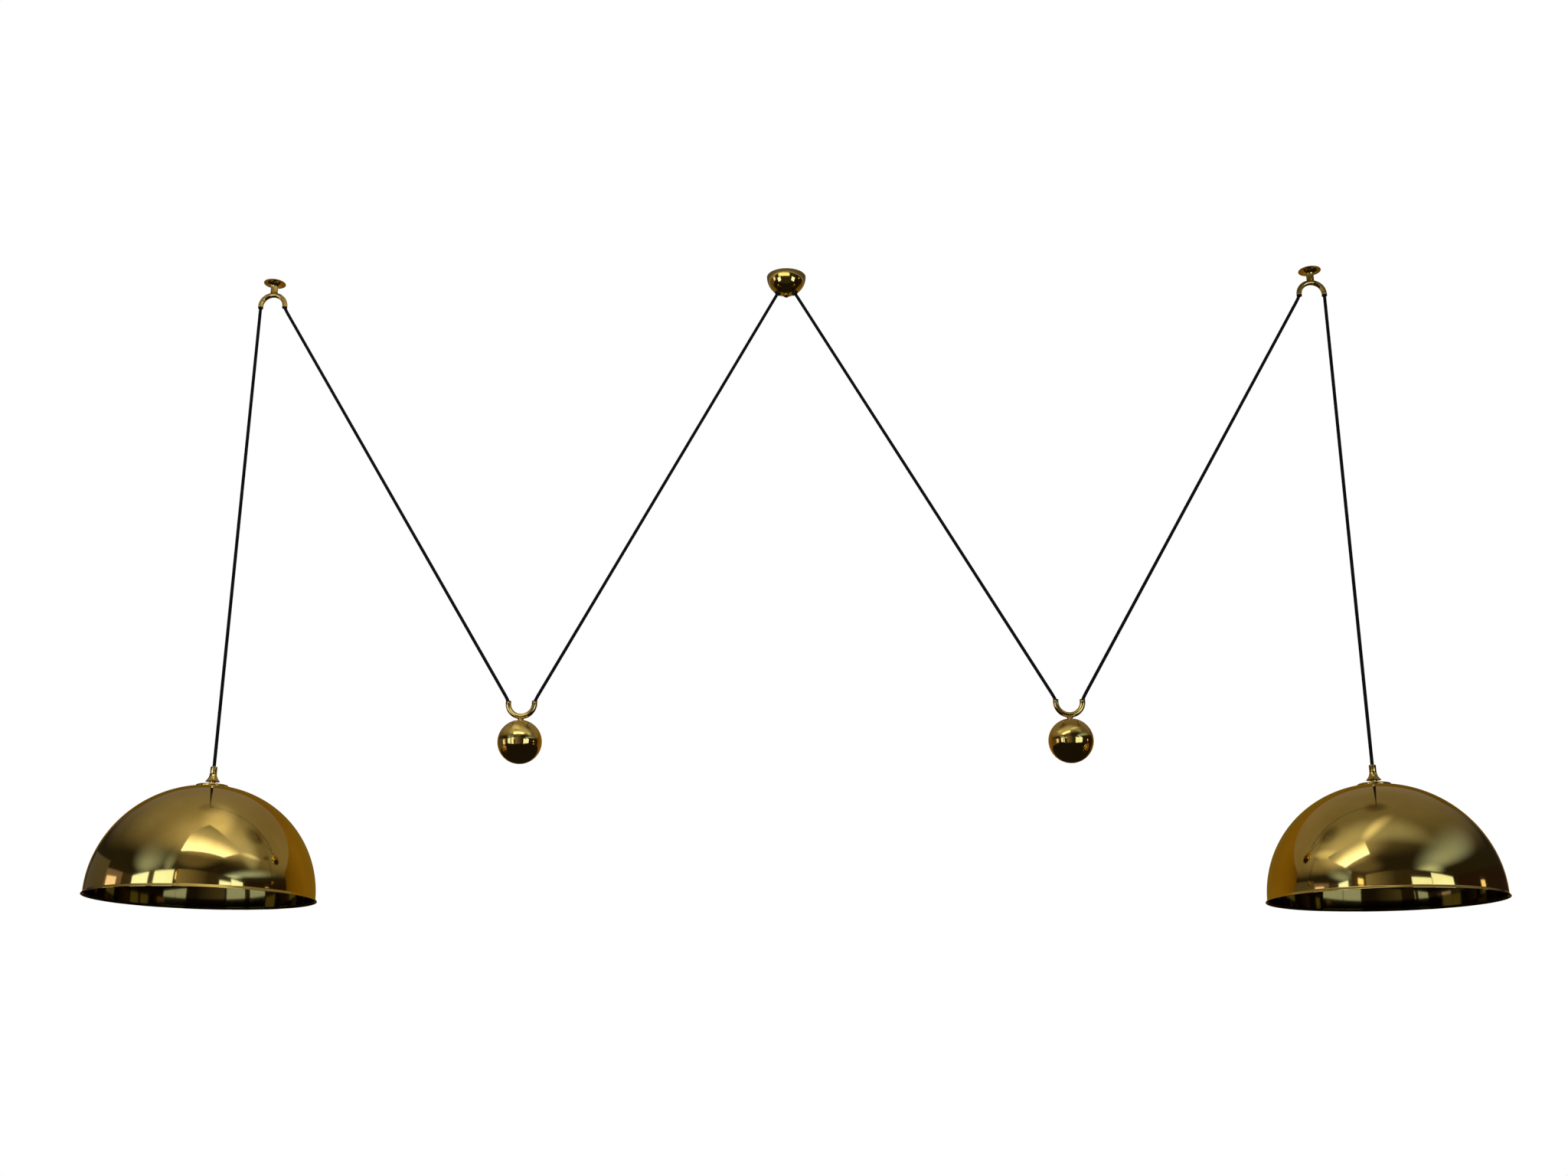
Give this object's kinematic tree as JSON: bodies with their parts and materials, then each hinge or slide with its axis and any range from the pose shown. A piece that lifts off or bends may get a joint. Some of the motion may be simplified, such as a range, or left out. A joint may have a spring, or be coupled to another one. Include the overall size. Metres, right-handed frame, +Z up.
{
  "type": "rise and fall pendant",
  "caption": "Rise and fall pendant: a ceiling canopy feeds cords over ball counterweights and ceiling hooks to brass dome shades.",
  "frame": {"origin": "centre of the canopy on the ceiling plane", "axes": "+Z up towards the ceiling's far side, +X from the left shade to the right one, +Y away from the viewer"},
  "size_m": [2.4779, 0.4, 1.2065],
  "materials": {
    "polished_brass": "polished, unlacquered",
    "black_textile": "braided textile over cable",
    "black_plastic": "moulded",
    "white_nylon": "moulded",
    "zinc_plated_steel": "zinc plated",
    "lead_insulation": "extruded",
    "porcelain": "glazed; gloss plastic stands in for porcelain",
    "bulb_cap_metal": "rolled thread",
    "opal_glass": "opal"
  },
  "bodies": {
    "root": {"canopy_cup": "polished_brass", "ceiling_bracket": "zinc_plated_steel", "canopy_stud": "zinc_plated_steel", "canopy_cap_nut": "polished_brass", "canopy_cord_bushes": "black_plastic", "canopy_cord_stops": "white_nylon", "canopy_cord_ends": "black_textile", "canopy_leads": "lead_insulation", "terminal_block": "white_nylon", "terminal_screws": "zinc_plated_steel", "left_hook_rosette": "polished_brass", "left_hook_stem": "polished_brass", "left_hook_tube": "polished_brass", "left_hook_bushes": "black_plastic", "left_hook_cord": "black_textile", "left_inner_cord": "black_textile", "left_outer_cord": "black_textile", "right_hook_rosette": "polished_brass", "right_hook_stem": "polished_brass", "right_hook_tube": "polished_brass", "right_hook_bushes": "black_plastic", "right_hook_cord": "black_textile", "right_inner_cord": "black_textile", "right_outer_cord": "black_textile"},
    "left_weight": {"left_weight_ball": "polished_brass", "left_weight_stud": "polished_brass", "left_weight_tube": "polished_brass", "left_weight_bushes": "black_plastic", "left_weight_cord": "black_textile"},
    "left_drop": {"left_drop_cord": "black_textile"},
    "left_shade": {"left_shade_dome": "polished_brass", "left_shade_top_disc": "polished_brass", "left_cord_grip": "polished_brass", "left_grip_screw": "zinc_plated_steel", "left_shade_nipple": "polished_brass", "left_shade_lock_nut": "polished_brass", "left_shade_cord_end": "black_textile", "left_lampholder_cap": "black_plastic", "left_lampholder_body": "black_plastic", "left_lampholder_contacts": "porcelain", "left_bulb_base": "bulb_cap_metal", "left_bulb_glass": "opal_glass"},
    "right_weight": {"right_weight_ball": "polished_brass", "right_weight_stud": "polished_brass", "right_weight_tube": "polished_brass", "right_weight_bushes": "black_plastic", "right_weight_cord": "black_textile"},
    "right_drop": {"right_drop_cord": "black_textile"},
    "right_shade": {"right_shade_dome": "polished_brass", "right_shade_top_disc": "polished_brass", "right_cord_grip": "polished_brass", "right_grip_screw": "zinc_plated_steel", "right_shade_nipple": "polished_brass", "right_shade_lock_nut": "polished_brass", "right_shade_cord_end": "black_textile", "right_lampholder_cap": "black_plastic", "right_lampholder_body": "black_plastic", "right_lampholder_contacts": "porcelain", "right_bulb_base": "bulb_cap_metal", "right_bulb_glass": "opal_glass"}
  },
  "joints": [
    {"name": "left_shade_swing", "type": "hinge", "parent": "root", "child": "left_drop", "pos_m": [-1.039, 0, -0.0517], "axis": [1, 0, 0], "range_deg": [-20, 20]},
    {"name": "left_shade_rise", "type": "slide", "parent": "left_drop", "child": "left_shade", "axis": [0, 0, 1], "range_m": [-0.35, 0.4], "deforming": ["left_drop_cord"]},
    {"name": "left_weight_travel", "type": "slide", "parent": "root", "child": "left_weight", "axis": [0, 0, 1], "range_m": [-0.235, 0.205], "deforming": ["left_inner_cord", "left_outer_cord"]},
    {"name": "right_shade_swing", "type": "hinge", "parent": "root", "child": "right_drop", "pos_m": [1.039, 0, -0.0517], "axis": [1, 0, 0], "range_deg": [-20, 20]},
    {"name": "right_shade_rise", "type": "slide", "parent": "right_drop", "child": "right_shade", "axis": [0, 0, 1], "range_m": [-0.35, 0.4], "deforming": ["right_drop_cord"]},
    {"name": "right_weight_travel", "type": "slide", "parent": "root", "child": "right_weight", "axis": [0, 0, 1], "range_m": [-0.235, 0.205], "deforming": ["right_inner_cord", "right_outer_cord"]}
  ],
  "couplings": [
    {"joint": "left_weight_travel", "follows": "left_shade_rise", "ratio": -0.58},
    {"joint": "right_weight_travel", "follows": "right_shade_rise", "ratio": -0.58}
  ]
}
